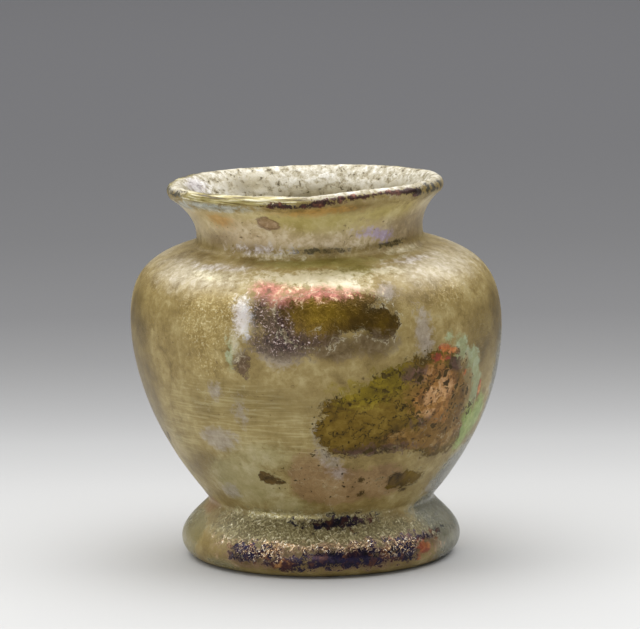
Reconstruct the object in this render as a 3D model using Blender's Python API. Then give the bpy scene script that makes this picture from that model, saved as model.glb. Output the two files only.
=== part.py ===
"""Miniature blown glass pot on a tubular foot ring, as a Blender script.

The vessel is one sheet of glass turned about an upright axis. The sheet runs from the middle of the floor,
down the inner leg of the foot ring, round its hollow tube, up the body and the neck, and out into a funnel
that ends in a rolled lip. The foot rests on z = 0 with the axis at x = y = 0, and the front faces -Y.
"""

import math

import bmesh
import bpy
from mathutils import Vector

MM = 0.001

# Heights, each measured from the one before it
FOOT_RISE = 7.1 * MM  # table to the waist crease above the foot
BODY_RISE = 21.5 * MM  # waist to the widest part of the body
SHOULDER_RISE = 9.7 * MM  # widest part to the corner where the neck starts
NECK_RISE = 1.3 * MM  # that corner to the narrowest part of the neck
FUNNEL_RISE = 5.8 * MM  # narrowest part of the neck to the top of the lip

# Outside diameters, and how far the foot and the lip stand out past what carries them
WAIST_DIAMETER = 27.2 * MM
BODY_DIAMETER = 44.8 * MM
NECK_DIAMETER = 27.3 * MM
FOOT_OVERHANG = 3.3 * MM  # past the waist
LIP_OVERHANG = 3.0 * MM  # past the neck

# Thicknesses and small forms
WALL = 1.2 * MM
LIP_THICKNESS = 1.8 * MM
CORNER_RADIUS = 0.75 * MM  # of the crease at the neck's corner
FOOT_BULGE_HEIGHT = 2.3 * MM  # table to the widest part of the foot
CONTACT_WIDTH = 1.0 * MM  # flat on which the foot rests
CONTACT_INSET = 2.4 * MM  # widest part of the foot to the outer edge of that flat
TUBE_RADIUS = 0.6 * MM  # least inside radius of the foot's hollow tube
FOLD_GAP = 0.6 * MM  # between the waist's inside and the folded leg
FLOOR_CORNER_RADIUS = 1.0 * MM  # where the leg turns into the floor, seen from below
FLOOR_DROP = 0.3 * MM  # waist crease down to the floor's underside at its edge
KICK_RISE = 1.3 * MM  # that edge up to the middle of the floor

# Signs of hand work: the body sits off the foot's centre, leans to -X, and its lip isn't level
SET_OVER = 0.17 * MM  # of the body, to +X
SET_OVER_HEIGHT = 3.0 * MM  # through which it comes on, centred on the waist
LEAN = 1.67 * MM  # sideways, at the lip
LEAN_POWER = 2.8  # how late in the height the lean comes on
LIP_TILT = math.radians(0.9)
LIP_WARP = 0.24 * MM  # the lip rises at its sides and sinks at front and back
WARP_POWER = 8  # how near the lip the warp stays
LIP_CLIMB = 1.0 * MM  # the front of the lip is pulled up
CLIMB_AZIMUTH = math.radians(-80)  # from +X, where it is pulled up most
CLIMB_REACH = math.radians(120)  # to either side, over which that fades

# Handles of the profile's curves
BODY_PULL = 12.2 * MM  # below the widest part
SHOULDER_PULL = 6.35 * MM  # above the widest part
SHOULDER_SLOPE = math.radians(15)  # where the shoulder meets the neck
SHOULDER_REACH = 5.5 * MM
WAIST_PULL = 0.5 * MM  # above the waist
WAIST_FOOT_PULL = 0.9 * MM  # below it
FOOT_PULL = 2.1 * MM  # above the widest part of the foot
ROUND_SHARE = 0.55  # of a corner's size, as handles that bend it close to a quarter circle
LIP_SLOPE = math.radians(36)  # of the funnel's underside where it meets the lip
LIP_REACH = 2.7 * MM
FUNNEL_SLOPE = math.radians(48)  # of the funnel's inside where it leaves the lip
FUNNEL_PULL = 0.95 * MM  # above the narrowest part of the neck

SIDES = 48
AXIS = Vector((0.0, 0.0, 1.0))

waist_radius = WAIST_DIAMETER / 2
body_radius = BODY_DIAMETER / 2
neck_radius = NECK_DIAMETER / 2
foot_radius = waist_radius + FOOT_OVERHANG
lip_radius = neck_radius + LIP_OVERHANG

waist_height = FOOT_RISE
belly_height = waist_height + BODY_RISE
corner_height = belly_height + SHOULDER_RISE
neck_height = corner_height + NECK_RISE
top_height = neck_height + FUNNEL_RISE
roll_height = top_height - LIP_THICKNESS / 2


def heading(angle):
    """Unit vector in the profile plane at an angle in radians above the outward direction."""
    return Vector((math.cos(angle), math.sin(angle)))


def curve(start, start_pull, end_pull, end, steps):
    """Points on a cubic from start to end, each end pulled by its own handle. The last point is left out."""
    handles = (start, start + start_pull, end + end_pull, end)
    points = []
    for step in range(steps):
        t = step / steps
        weights = ((1 - t) ** 3, 3 * t * (1 - t) ** 2, 3 * t * t * (1 - t), t**3)
        points.append(sum((w * h for w, h in zip(weights, handles)), Vector((0.0, 0.0))))
    return points


def arc(centre, radius, start_angle, end_angle, steps):
    """Points on an arc from start_angle to end_angle in radians. The last point is left out."""
    turn = (end_angle - start_angle) / steps
    return [centre + radius * heading(start_angle + turn * step) for step in range(steps)]


def underside(detail):
    """The air side of the floor and of the folded leg, from the axis out to the resting flat."""
    leg_radius = waist_radius - 2 * WALL - FOLD_GAP
    edge_height = waist_height - FLOOR_DROP
    fold_radius = WALL + TUBE_RADIUS
    contact_outer = foot_radius - CONTACT_INSET
    contact_inner = contact_outer - CONTACT_WIDTH
    corner = Vector((leg_radius - FLOOR_CORNER_RADIUS, edge_height - FLOOR_CORNER_RADIUS))
    middle = Vector((0.0, edge_height + KICK_RISE))
    floor_edge = Vector((corner.x, edge_height))
    flat = Vector((corner.x / 2, 0.0))
    foot_inside = Vector((contact_inner - fold_radius, fold_radius))
    leg_top = Vector((leg_radius, corner.y))
    half_leg = (leg_top.y - foot_inside.y) / 2
    down = Vector((0.0, -half_leg))
    return (
        curve(middle, flat, -flat, floor_edge, 4 * detail)
        + arc(corner, FLOOR_CORNER_RADIUS, math.pi / 2, 0.0, 2 * detail)
        + curve(leg_top, down, -down, foot_inside, 3 * detail)
        + arc(Vector((contact_inner, fold_radius)), fold_radius, math.pi, 1.5 * math.pi, 3 * detail)
        + [Vector((contact_inner, 0.0))]
    )


def foot_side(detail):
    """The outside of the foot, from the outer edge of the resting flat up to the waist."""
    contact = Vector((foot_radius - CONTACT_INSET, 0.0))
    bulge = Vector((foot_radius, FOOT_BULGE_HEIGHT))
    waist = Vector((waist_radius, waist_height))
    out = Vector((ROUND_SHARE * CONTACT_INSET, 0.0))
    down = Vector((0.0, -ROUND_SHARE * FOOT_BULGE_HEIGHT))
    up = Vector((0.0, FOOT_PULL))
    below_waist = Vector((0.0, -WAIST_FOOT_PULL))
    return curve(contact, out, down, bulge, 3 * detail) + curve(bulge, up, below_waist, waist, 3 * detail)


def body_side(detail):
    """The outside of the body, the shoulder and the short neck, up to the neck's narrowest point."""
    waist = Vector((waist_radius, waist_height))
    belly = Vector((body_radius, belly_height))
    corner = Vector((neck_radius, corner_height))
    neck = Vector((neck_radius, neck_height))
    slope = Vector((math.cos(SHOULDER_SLOPE), -math.sin(SHOULDER_SLOPE)))
    shoulder_end = corner + CORNER_RADIUS * slope
    neck_start = corner + Vector((0.0, CORNER_RADIUS))
    return (
        curve(waist, Vector((0.0, WAIST_PULL)), Vector((0.0, -BODY_PULL)), belly, 6 * detail)
        + curve(belly, Vector((0.0, SHOULDER_PULL)), SHOULDER_REACH * slope, shoulder_end, 5 * detail)
        + curve(shoulder_end, (corner - shoulder_end) / 2, (corner - neck_start) / 2, neck_start, 2 * detail)
        + [neck]
    )


def funnel_and_lip(detail):
    """The underside of the funnel, the rolled lip and the funnel's inside, down to the neck's bore."""
    roll = LIP_THICKNESS / 2
    centre = Vector((lip_radius - roll, roll_height))
    under_angle = LIP_SLOPE - math.pi / 2
    inside_angle = math.pi - FUNNEL_SLOPE
    neck = Vector((neck_radius, neck_height))
    bore = Vector((neck_radius - WALL, neck_height))
    under = centre + roll * heading(under_angle)
    inside = centre + roll * heading(inside_angle)
    rise = Vector((0.0, FUNNEL_PULL))
    into_funnel = heading(inside_angle + math.pi / 2)
    return (
        curve(neck, rise, -LIP_REACH * heading(LIP_SLOPE), under, 3 * detail)
        + arc(centre, roll, under_angle, inside_angle, 4 * detail)
        + curve(inside, LIP_REACH * into_funnel, rise, bore, 3 * detail)
    )


def inner_side(outside):
    """The inside of the sheet: each point of the outside moved one wall thickness into the pot."""
    inside = []
    for before, point, after in zip(outside, outside[1:], outside[2:]):
        along = (after - before).normalized()
        inside.append(point + WALL * Vector((-along.y, along.x)))
    floor = Vector((0.0, outside[0].y + WALL))
    return [floor] + inside


def meridian():
    """The whole closed profile of the glass: the air side out and up, then the inside back down."""
    outside = underside(1) + foot_side(2) + body_side(2)
    coarse = underside(1) + foot_side(1) + body_side(1)
    bore = Vector((neck_radius - WALL, neck_height))
    return outside[:-1] + funnel_and_lip(2) + [bore] + inner_side(coarse)[::-1]


def lip_climb(azimuth, height):
    """How far the pulled-up front of the lip lifts a point of the funnel; the roll itself moves as one."""
    turn = (azimuth - CLIMB_AZIMUTH + math.pi) % (2 * math.pi) - math.pi
    sideways_fade = math.cos(math.pi / 2 * min(abs(turn) / CLIMB_REACH, 1.0)) ** 2
    share = min(max((height - neck_height) / (roll_height - neck_height), 0.0), 1.0)
    return LIP_CLIMB * sideways_fade * share * share * (3 - 2 * share)


def hand_worked(point):
    """A point of the turned form moved to where the leaning, slightly uneven pot has it."""
    share = max(point.z, 0.0) / top_height
    azimuth = math.atan2(point.y, point.x)
    warp = LIP_WARP * math.cos(2 * azimuth) * share**WARP_POWER
    above_waist = (point.z - waist_height) / SET_OVER_HEIGHT + 0.5
    sideways = SET_OVER * min(max(above_waist, 0.0), 1.0) - LEAN * share**LEAN_POWER
    lift = point.x * math.tan(LIP_TILT) * share + warp + lip_climb(azimuth, point.z)
    return Vector((point.x + sideways, point.y, point.z + lift))


def turned_mesh(name, profile):
    """A mesh made by turning a profile, given as radius and height, about the upright axis."""
    shell = bmesh.new()
    rim = [shell.verts.new((p.x, 0.0, p.y)) for p in profile]
    edges = [shell.edges.new(pair) for pair in zip(rim, rim[1:])]
    bmesh.ops.spin(
        shell, geom=rim + edges, cent=Vector(), axis=AXIS, angle=2 * math.pi, steps=SIDES, use_merge=True
    )
    bmesh.ops.remove_doubles(shell, verts=shell.verts, dist=1e-6)
    for vertex in shell.verts:
        vertex.co = hand_worked(vertex.co)
    bmesh.ops.recalc_face_normals(shell, faces=shell.faces)
    mesh = bpy.data.meshes.new(name)
    shell.to_mesh(mesh)
    shell.free()
    mesh.shade_smooth()
    mesh.set_sharp_from_angle(angle=math.radians(40))
    return mesh


def weathered_glass():
    """Amber-olive blown glass under a thin pearly weathering film."""
    material = bpy.data.materials.new("weathered_glass")
    material.use_nodes = True
    surface = material.node_tree.nodes["Principled BSDF"]
    surface.inputs["Base Color"].default_value = (0.33, 0.26, 0.11, 1.0)
    surface.inputs["Roughness"].default_value = 0.35
    surface.inputs["Metallic"].default_value = 0.0
    surface.inputs["IOR"].default_value = 1.5
    surface.inputs["Transmission Weight"].default_value = 0.3
    return material


def build():
    """Clears the scene and makes the pot."""
    for thing in list(bpy.data.objects):
        bpy.data.objects.remove(thing, do_unlink=True)
    pot = bpy.data.objects.new("glass_pot", turned_mesh("glass_pot", meridian()))
    pot.data.materials.append(weathered_glass())
    bpy.context.scene.collection.objects.link(pot)


build()
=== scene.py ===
"""Looks of the miniature blown glass pot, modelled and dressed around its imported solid.

The pot is one sheet of amber-olive glass that has weathered for centuries: satin and pearly nearly all
over, with flakes of cream film, a brown crust, patches where the clear glass shows, and thin violet and
gold films. Sizes in the classes are millimetres on the turned form, and azimuths are degrees from the
front, positive to the right.
"""

import logging
import math
import random
from dataclasses import dataclass, field, replace
from enum import Enum

import bpy
import numpy as np
from mathutils import Matrix, Vector, kdtree, noise


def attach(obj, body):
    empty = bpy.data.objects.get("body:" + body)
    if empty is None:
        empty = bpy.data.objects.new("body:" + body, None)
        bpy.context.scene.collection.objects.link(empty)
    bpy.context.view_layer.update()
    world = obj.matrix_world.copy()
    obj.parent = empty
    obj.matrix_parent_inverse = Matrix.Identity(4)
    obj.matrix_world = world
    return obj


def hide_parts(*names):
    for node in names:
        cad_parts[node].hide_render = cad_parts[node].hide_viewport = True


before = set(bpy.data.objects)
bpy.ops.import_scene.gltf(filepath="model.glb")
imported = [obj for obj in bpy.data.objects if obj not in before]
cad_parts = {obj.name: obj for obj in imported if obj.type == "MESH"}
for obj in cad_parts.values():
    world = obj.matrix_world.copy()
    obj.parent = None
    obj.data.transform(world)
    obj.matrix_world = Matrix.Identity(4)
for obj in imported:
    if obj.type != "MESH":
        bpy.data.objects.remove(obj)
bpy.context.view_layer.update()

Socket = bpy.types.NodeSocket

MM = 0.001
SEED = 7
CURVE_POINTS = 48
ARC_POINTS = 32
FAR = -3.0  # mm, the depth given to a point well outside a finish
ROUND = 1000.0  # half width of an area that runs all the way round
log = logging.getLogger("glass_pot")


def linear(colour: str) -> tuple[float, float, float, float]:
    """Turn an sRGB hex colour into the linear one that a shader takes.

    Args:
        colour: six hex digits after a hash.

    Returns:
        Linear red, green and blue, and an alpha of 1.
    """
    shares = [int(colour[i : i + 2], 16) / 255 for i in (1, 3, 5)]
    red, green, blue = (s / 12.92 if s <= 0.04045 else ((s + 0.055) / 1.055) ** 2.4 for s in shares)
    return red, green, blue, 1.0


class Zone(Enum):
    """Which stretch of the sheet of glass a point lies on, in the order of the profile."""

    UNDER = 0  # air side of the floor and of the foot's inner leg
    SIDE = 1  # foot, body, shoulder, neck and the funnel's underside
    LIP = 2  # the rolled lip
    FUNNEL = 3  # inside of the funnel
    INSIDE = 4  # inside of the neck, body and foot


class Pattern(Enum):
    """The textures that colour a finish or break it into specks."""

    CLOUD = "cloud"  # soft changes over a few millimetres
    BLOTCH = "blotch"  # clouds with spots in them
    MOTTLE = "mottle"  # spots under a millimetre
    GRAIN = "grain"  # sand-fine sparkle
    PLATE = "plate"  # angular flakes, each of one colour
    FLAKE = "flake"  # the same flakes with dark joints
    VEIN = "vein"  # winding hairlines
    NEEDLE = "needle"  # fine crystals that lie across each other
    STRIAE = "striae"  # hair-thin level lines left by turning
    DOTS = "dots"  # scattered pits, brightest at their middles


CLOUD, BLOTCH, MOTTLE, GRAIN, PLATE, FLAKE, VEIN, NEEDLE, STRIAE, DOTS = Pattern


@dataclass(frozen=True)
class Patch:
    """A rounded area on the sheet of glass, by its middle and its half sizes."""

    azimuth: float
    height: float
    half_around: float
    half_up: float
    tilt: float = 0.0
    inner: bool = False  # on the inside of the mouth


@dataclass(frozen=True)
class Gloss:
    """How a finish takes the light."""

    roughness: float
    metallic: float = 0.0
    transmission: float = 0.0


@dataclass(frozen=True)
class Edge:
    """How a finish ends, and how much it hides."""

    ragged: float = 0.5  # mm by which the edge wanders
    soft: float = 0.12  # mm over which the edge fades
    cover: float = 1.0  # share of what lies below that is hidden


@dataclass(frozen=True)
class Finish:
    """One layer of the surface: its texture and colours, where it lies, how it shines and how it ends."""

    name: str
    pattern: Pattern
    colours: str  # from the pattern's low values to its high ones
    patches: tuple[Patch, ...]
    gloss: Gloss
    edge: Edge = Edge()
    core: float = 0.0  # how much the colour runs from the edge to the middle rather than by the pattern
    rim_of: str = ""  # the finish whose edge it follows as a line
    rim: float = 0.0  # half width of that line in mm
    lift: float = 0.0  # how far it stands proud
    grain: float = 0.0  # how deep its pattern bites
    specks: Pattern | None = None  # what breaks the finish into specks
    amount: float = 1.0  # share of the area that the specks take
    behind: int = 0  # how many areas of it the hidden side gets

    @property
    def shine(self) -> tuple[float, float, float, float]:
        """Roughness, metallic and transmission, held as one colour so that one node mixes all three."""
        return self.gloss.roughness, self.gloss.metallic, self.gloss.transmission, 1.0


# Blown soda-lime glass under a thin satin weathering: the light sinks a little way in and
# comes back golden tan
SATIN = Finish("satin", BLOTCH, "#74602C #8A7540 #9C8750 #AE9B66 #C0B082",
    (),
    Gloss(0.38, 0.12, 0.1), grain=0.3)

# Films and stains of the body's skin, from the lowest to the highest
BODY = (
    # Deeper olive where the satin is thin and the glass shows through
    Finish("deep", CLOUD, "#5E4C1E #78622C #8C763A",
        (Patch(-76, 24, 5, 9), Patch(64, 27.5, 4, 4), Patch(38, 34, 4, 1.5), Patch(-20, 22, 6, 1.5),
         Patch(78, 28, 4, 5), Patch(-50, 13, 4, 2)),
        Gloss(0.34, 0.15, 0.2), Edge(1.2, 1.5, 0.75), behind=8),
    # Painted glow: pale colour low on the left, standing in for light that comes through the wall
    Finish("glow", BLOTCH, "#9C9058 #B4A876 #CCC298",
        (Patch(-33, 11.5, 5, 4), Patch(-16, 8.6, 2.6, 1.4), Patch(-22, 15.4, 4, 1.6)),
        Gloss(0.34, 0.2, 0.2), Edge(0.9, 1.2, 0.8)),
    # Pale band all round the shoulders: partly pearly bloom where dust and damp settled, partly a painted
    # highlight where the shoulders face the overhead light
    Finish("bloom_and_highlight", MOTTLE, "#A89B7A #C2B79C #DAD2C2",
        (Patch(-49, 36.6, 8, 2.6), Patch(56, 36.6, 8, 2.6), Patch(120, 36.6, 14, 2.6),
         Patch(-130, 36.6, 14, 2.6), Patch(180, 36.6, 14, 2.6)),
        Gloss(0.34, 0.15), Edge(1.2, 1.8, 0.65), grain=0.3),
    # Reddish tan satin low on the body, which looks like dry clay
    Finish("tan", BLOTCH, "#7A5C38 #94744C #AA8C64",
        (Patch(-4, 12.5, 2.6, 4.2), Patch(6, 11.4, 4.6, 3.2), Patch(-74, 7, 2.6, 1.6),
         Patch(25, 11.5, 3.5, 2.5)),
        Gloss(0.42, 0.1, 0.1), Edge(0.9, 0.3, 0.8), behind=4),
    # Level scratches and turning lines that catch the light
    Finish("striae", STRIAE, "#86763F #A29058 #CCC08E",
        (Patch(-30, 20.4, 10, 4.6), Patch(-6, 17.5, 3.5, 3), Patch(-58, 17, 4, 3)),
        Gloss(0.33, 0.15, 0.05), Edge(0.8, 1.8, 0.35), grain=0.3, behind=4),
    # Lavender-grey film
    Finish("lavender", MOTTLE, "#8C8480 #A29A98 #B6AEAC",
        (Patch(-37, 17.2, 2.6, 1.6), Patch(-26, 21, 0.5, 1.2), Patch(-34, 23.3, 0.8, 0.8),
         Patch(-11, 28.6, 2.9, 1.8), Patch(35, 29.7, 1.2, 2.9), Patch(1.5, 15.4, 0.7, 2.2, 20),
         Patch(7, 13.1, 0.9, 0.8), Patch(-1, 18.6, 0.6, 1.4), Patch(25, 35.1, 1.2, 1),
         Patch(4.5, 14.6, 0.9, 0.9), Patch(-44, 10, 1.6, 1.2), Patch(60, 9.5, 1.6, 1.4)),
        Gloss(0.38, 0.2), Edge(0.9, 0.5, 0.5), behind=5),
    # Fine gold sparkle where the film has broken into tiny plates
    Finish("gold", GRAIN, "#7E6830 #A08848 #C8B070 #FFF6CC",
        (Patch(-36, 31.5, 3.6, 3.6), Patch(-35, 26.8, 2, 1), Patch(-28, 33, 2.5, 2), Patch(48, 34, 2.5, 1.2)),
        Gloss(0.3, 0.5), Edge(1.6, 1.6, 0.42), grain=0.3, behind=3),
    # Turquoise to pale green film
    Finish("verdigris", PLATE, "#86926C #A2AE82 #BACBAE",
        (Patch(-27, 28.3, 0.5, 1.5), Patch(50, 27, 1.3, 1.8), Patch(56, 24.6, 1.8, 2.4),
         Patch(60, 21.8, 1.2, 2), Patch(45, 28.8, 0.6, 0.6)),
        Gloss(0.36, 0.15, 0.1), Edge(0.8, 0.3, 0.75), behind=2),
    # Small brown specks strewn over the satin
    Finish("dust", MOTTLE, "#5A441E #7A6234",
        (Patch(0, 24, ROUND, 17),),
        Gloss(0.45), Edge(soft=0.5, cover=0.55), specks=DOTS, amount=0.1),
)

# Places where all weathering is lost and the clear glass shows
CLEAR = (
    # Greyish clear glass at the right edge of the body and of the foot
    Finish("smoke", CLOUD, "#7E8272 #9A9C88 #B8B8A4",
        (Patch(86, 20, 3.6, 7, 12), Patch(72, 11.6, 4.4, 3.6, 30), Patch(76, 4.6, 6.5, 6)),
        Gloss(0.22, 0, 0.6), Edge(1.6, 1.2, 0.85)),
    # Yellowish clear glass at the left end of the foot
    Finish("bare", CLOUD, "#A89C62 #BEB482",
        (Patch(-78, 3.4, 4.6, 3.4), Patch(-46, 0.9, 2.6, 1)),
        Gloss(0.18, 0, 0.55), Edge(0.6, 0.5, 0.8), behind=2),
    # Green glint along the clear edge
    Finish("lime", MOTTLE, "#728F2E #97B44A #B6C472",
        (Patch(60, 17, 1.8, 3.2, 15), Patch(67, 18.2, 1.8, 2.6)),
        Gloss(0.3, 0.1, 0.2), Edge(1, 0.6, 0.8)),
)

# The brown crust low on the right, and what has grown and flaked in it
CRUST = (
    # Iron-stained scale that lies in the skin of the glass, darkest along its edge
    Finish("crust", BLOTCH, "#382A08 #54400C #705816 #88702C #9C823E",
        (Patch(8, 18.6, 3.4, 3.3), Patch(10, 20.9, 3.4, 2.4), Patch(18, 19.8, 4.6, 4.6),
         Patch(26, 22, 4.6, 4.4), Patch(33, 24.4, 3.4, 2.6), Patch(39, 20.6, 5.8, 6.2), Patch(41, 26, 3, 2),
         Patch(48, 16.4, 3.8, 2.8), Patch(36, 11.4, 2.6, 1.3)),
        Gloss(0.4, 0.6), Edge(1.3), core=0.3, lift=0.4, grain=0.5, behind=3),
    # Yellow-olive top of the crust
    Finish("moss", BLOTCH, "#4C3F06 #6E5E0A #8C7A18 #A49234",
        (Patch(14, 23.2, 3.4, 1.6), Patch(25, 24.6, 3.4, 1.8)),
        Gloss(0.4, 0.55), Edge(1.4, 0.6, 0.75), grain=0.3),
    # Brown plates at the right, with pale joints
    Finish("plates", PLATE, "#4A3610 #704F1E #8C6830 #B29460",
        (Patch(46, 18.2, 4.2, 3.6), Patch(32, 16.8, 3.4, 1.6), Patch(50, 23, 2.6, 3.4),
         Patch(36, 23.6, 3.2, 2.2)),
        Gloss(0.38, 0.5), Edge(1.2, 0.5, 0.75), lift=0.5, grain=0.5, behind=2),
    # Coppery scale
    Finish("copper", PLATE, "#4E3410 #7E5220 #A67434 #C2965A",
        (Patch(42, 22.8, 2.5, 2.8), Patch(36, 21.4, 2, 1.8), Patch(43, 19.6, 1.6, 1.2),
         Patch(37, 24.9, 1.8, 1)),
        Gloss(0.4, 0.4), Edge(1.4, 0.5, 0.8), lift=0.6, grain=0.5, behind=2),
    # Peach-pale middle of the copper
    Finish("peach", MOTTLE, "#B0824C #CC9C68 #DDB888",
        (Patch(38, 22, 1.1, 1.2), Patch(44, 22.8, 0.9, 1.5), Patch(35, 24.8, 0.8, 0.6),
         Patch(38, 19.8, 0.9, 0.5)),
        Gloss(0.4, 0.2), Edge(0.9, 0.4, 0.65)),
    # Dark cracks that wind through the crust
    Finish("cracks", MOTTLE, "#1C1404 #32260C",
        (Patch(14, 19.6, 6, 3.6), Patch(34, 21.6, 7, 5.2)),
        Gloss(0.45, 0.7), Edge(0.8, 0.5, 0.8), lift=-0.6, specks=VEIN, amount=0.4),
    # Purplish brown scale
    Finish("mauve", MOTTLE, "#2A1A10 #47302A #664C40",
        (Patch(31, 25, 1.9, 1), Patch(36, 19, 1.4, 0.5), Patch(20, 15.9, 4.4, 0.7),
         Patch(-23, 27.2, 0.9, 1.4), Patch(47, 25.6, 1.2, 1)),
        Gloss(0.42, 0.5), Edge(1, 0.3, 0.8), lift=0.5, grain=0.4, behind=2),
    # Dark scabs left where most of the scale has come off
    Finish("scab", MOTTLE, "#241A06 #3A2C0C #54461E",
        (Patch(46, 25, 2.8, 2.4), Patch(54, 20.6, 2.6, 3.4), Patch(47, 18.4, 2.6, 1.2),
         Patch(14, 15.8, 4.6, 0.6), Patch(26, 24.6, 3.4, 1.6), Patch(34, 21.4, 1, 3)),
        Gloss(0.45, 0.7), Edge(0.7, 0.1, 0.95), lift=0.6, specks=FLAKE, amount=0.4),
    # Dark flecks strewn in and round the crust
    Finish("fleck", MOTTLE, "#201604 #362A0C",
        (Patch(12, 20, 6, 4), Patch(24, 23, 6, 3), Patch(40, 20, 6, 6), Patch(0, 12, 8, 3)),
        Gloss(0.4, 0.7), Edge(soft=0.4, cover=0.85), specks=DOTS, amount=0.27),
    # Bright rust
    Finish("ember", PLATE, "#5E1A08 #943616 #BC6A2C #DCA468",
        (Patch(42, 27.8, 1, 0.6), Patch(39, 26.7, 0.9, 0.6), Patch(46, 27.2, 0.6, 0.4),
         Patch(52.5, 24.5, 0.45, 0.5), Patch(63, 21.3, 0.4, 1.2), Patch(43, 26.3, 0.6, 0.4)),
        Gloss(0.4, 0.15), Edge(soft=0.15, cover=0.9), lift=0.8, grain=0.3),
    # Dark brown spots, each the stump of a bigger scale
    Finish("spot", MOTTLE, "#33240A #54401A #6E5628",
        (Patch(38, 9.9, 0.7, 0.45), Patch(16, 12.1, 0.55, 0.4), Patch(17, 10.2, 0.5, 0.4),
         Patch(-22, 12.4, 1.2, 0.9), Patch(-17, 12, 0.8, 0.4), Patch(-73, 15.3, 0.3, 1, -30),
         Patch(31, 11.8, 1.1, 0.9)),
        Gloss(0.4, 0.5), Edge(soft=0.1), behind=3),
    # Pale edge of the crust, where its film curls up
    Finish("crust_rim", MOTTLE, "#6E6038 #9C8E64 #D6CCA6",
        (),
        Gloss(0.35, 0.2), Edge(1.3, cover=0.4), rim_of="crust", rim=0.2, specks=MOTTLE, amount=0.45),
)

# The glossy, many-coloured film at the front of the shoulder
FILM = (
    # Yellow-green glass between the neck and the film
    Finish("sap", BLOTCH, "#6E6424 #8E8440 #AAA062",
        (Patch(4, 37.9, 7.5, 1.1), Patch(17, 37.2, 2.5, 1.6)),
        Gloss(0.3, 0.2, 0.15), Edge(0.8, 0.7, 0.8)),
    # Cream to white film, the highest and brightest part, with a painted highlight band across its top; its
    # white spots at the foot of the neck and on the shoulders are painted highlights
    Finish("film_and_highlights", BLOTCH, "#A89C74 #CEC4A0 #E8E0C8 #F8F4E8",
        (Patch(1, 36.7, 6.6, 1.4), Patch(8, 36.2, 3.9, 1.2), Patch(15, 35.6, 2, 0.8),
         Patch(-22, 32.5, 1, 2.3), Patch(-17, 38.7, 2.2, 0.4), Patch(-25, 29.6, 0.6, 1.2),
         Patch(-41, 36.6, 2.6, 0.7), Patch(27, 36.9, 1.8, 0.6), Patch(50, 38.2, 1.6, 0.4)),
        Gloss(0.27, 0.35), Edge(1.4, 0.7, 0.8), core=0.3, lift=0.2, grain=0.4),
    # Glossy brown glass bared where the film has flaked off, lighter in its middle
    Finish("umber", BLOTCH, "#2E2206 #58420C #7E6416 #A08A34",
        (Patch(4, 32.9, 5.6, 2.7), Patch(0, 31, 3.6, 2), Patch(21, 31.5, 2.2, 1.9),
         Patch(13, 34.2, 3.2, 1.1), Patch(-6, 32.8, 2.2, 2.4)),
        Gloss(0.3, 0.6), Edge(1.1, 0.15), core=0.55),
    # Brown-grey skin below it
    Finish("drab", MOTTLE, "#43321E #62503A #807058",
        (Patch(-8, 29.2, 4.6, 1.7), Patch(6, 28.8, 4.4, 1.5), Patch(18, 29.2, 2.8, 1.5)),
        Gloss(0.32, 0.55), Edge(1, 0.6, 0.75), grain=0.4),
    # Rose edge, where the film is thinnest
    Finish("rose", MOTTLE, "#5E2A28 #A45A54 #C88476 #EED6A8",
        (Patch(-15, 35.6, 2, 1.3), Patch(2, 35.2, 4.6, 0.8), Patch(-12, 34.4, 1.6, 0.8)),
        Gloss(0.26, 0.4), Edge(1.2, 0.6, 0.8), grain=0.5),
    # Broken violet-brown film
    Finish("torn", GRAIN, "#140A10 #2A181C #443030 #6A524A #D2C2BE",
        (Patch(-17, 33, 1.4, 2.1), Patch(-12, 31.7, 2, 2.3), Patch(-9, 29.6, 3.4, 1.3)),
        Gloss(0.3, 0.6), Edge(1.4, 1.1, 0.85), grain=0.6),
    # Hairlines and curled edges that catch the light
    Finish("umber_rim", MOTTLE, "#8C8058 #B8AC84 #EAE2C4",
        (),
        Gloss(0.3, 0.3), Edge(1.1, cover=0.7), rim_of="umber", rim=0.18, lift=0.5, specks=MOTTLE, amount=0.5),
    # Winding pale hairlines where a film has split
    Finish("threads", MOTTLE, "#8E8258 #B4A880 #DCD4B4",
        (Patch(4, 30.2, 5, 1.4), Patch(-21, 15, 3, 2), Patch(47, 17.4, 4, 2.8), Patch(-34, 22.5, 6, 1.5),
         Patch(-2, 12, 3, 4)),
        Gloss(0.3, 0.2), Edge(1.4, 1, 0.42), lift=0.4, specks=VEIN, amount=0.35, behind=4),
)

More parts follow.
